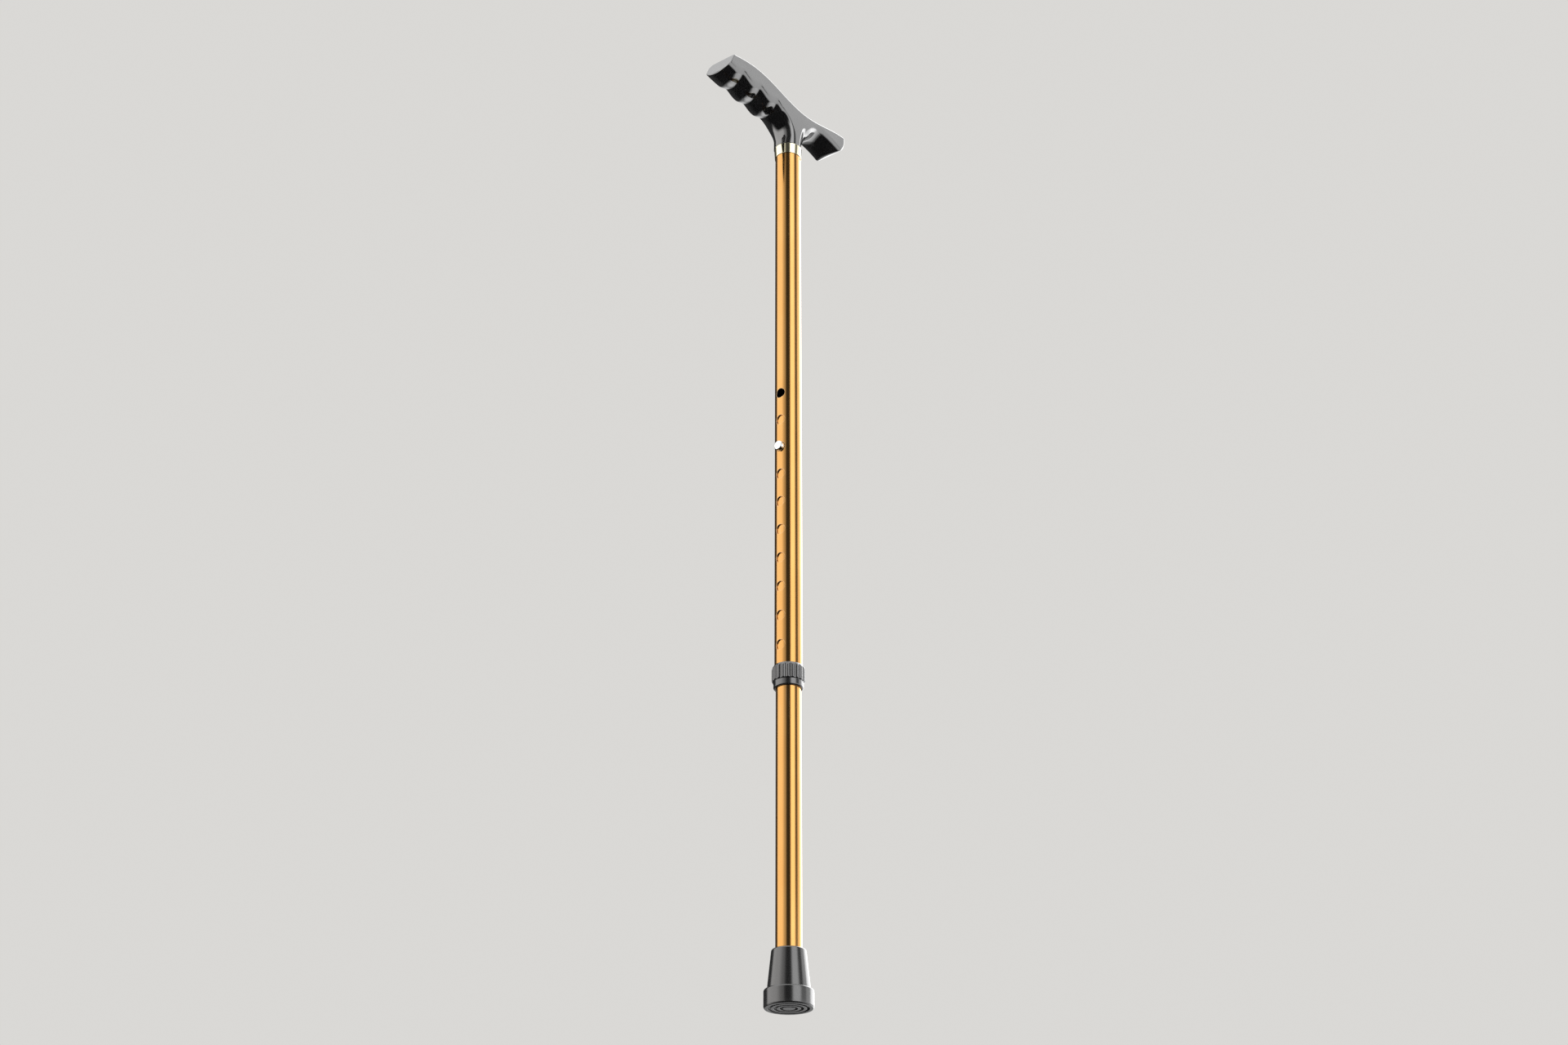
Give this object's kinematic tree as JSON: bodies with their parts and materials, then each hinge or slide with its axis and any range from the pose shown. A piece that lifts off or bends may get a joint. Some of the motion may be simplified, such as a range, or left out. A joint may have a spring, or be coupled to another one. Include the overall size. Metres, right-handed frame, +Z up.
{
  "type": "single point cane",
  "caption": "Single point walking cane with a moulded Derby handle, brass collar, push-button telescoping shaft, ribbed locking nut and flanged rubber tip.",
  "frame": {"origin": "centre of the rubber tip's ground face, on the shaft's axis", "axes": "+Z up the shaft to the handle; +X from the shaft's axis towards the handle's nose, on the side of the holes and the button; +Y to the left of the nose"},
  "size_m": [0.1669, 0.0374, 0.8166],
  "materials": {
    "handle_plastic": "polished moulded black",
    "brass": "polished pale brass",
    "gold_aluminium": "polished, gold anodised",
    "nickel": "nickel plated",
    "spring_steel": "blued spring strip",
    "zinc_steel": "zinc plated",
    "nylon": "natural moulded",
    "nut_plastic": "satin moulded black",
    "rubber": "semi-gloss moulded black"
  },
  "bodies": {
    "upper_section": {"handle_grip": "handle_plastic", "collar_ring": "brass", "handle_plug": "nylon", "handle_screw": "zinc_steel", "upper_tube": "gold_aluminium"},
    "lower_section": {"lower_tube": "gold_aluminium", "button_spring": "spring_steel", "rubber_tip": "rubber", "tip_washer": "zinc_steel"},
    "button": {"snap_button": "nickel"},
    "clamp_ring": {"compression_ring": "nylon"},
    "nut": {"locking_nut": "nut_plastic"}
  },
  "joints": [
    {"name": "height_adjust", "type": "slide", "parent": "upper_section", "child": "lower_section", "axis": [0, 0, 1], "range_m": [-0.1778, 0.0508], "deforming": ["snap_button", "button_spring"]},
    {"name": "button_press", "type": "slide", "parent": "lower_section", "child": "button", "axis": [-1, 0, 0], "range_m": [0, 0.0048], "stiffness_N_per_m": 900, "springref_m": -0.004, "deforming": ["button_spring"]},
    {"name": "nut_turn", "type": "hinge", "parent": "clamp_ring", "child": "nut", "pos_m": [0, 0, 0.26], "axis": [0, 0, 1], "range_deg": [-540, 0]},
    {"name": "ring_travel", "type": "slide", "parent": "upper_section", "child": "clamp_ring", "axis": [0, 0, 1], "range_m": [-0.003, 0]}
  ],
  "couplings": [
    {"joint": "nut_turn", "follows": "ring_travel", "rad_per_m": 3141.6}
  ]
}
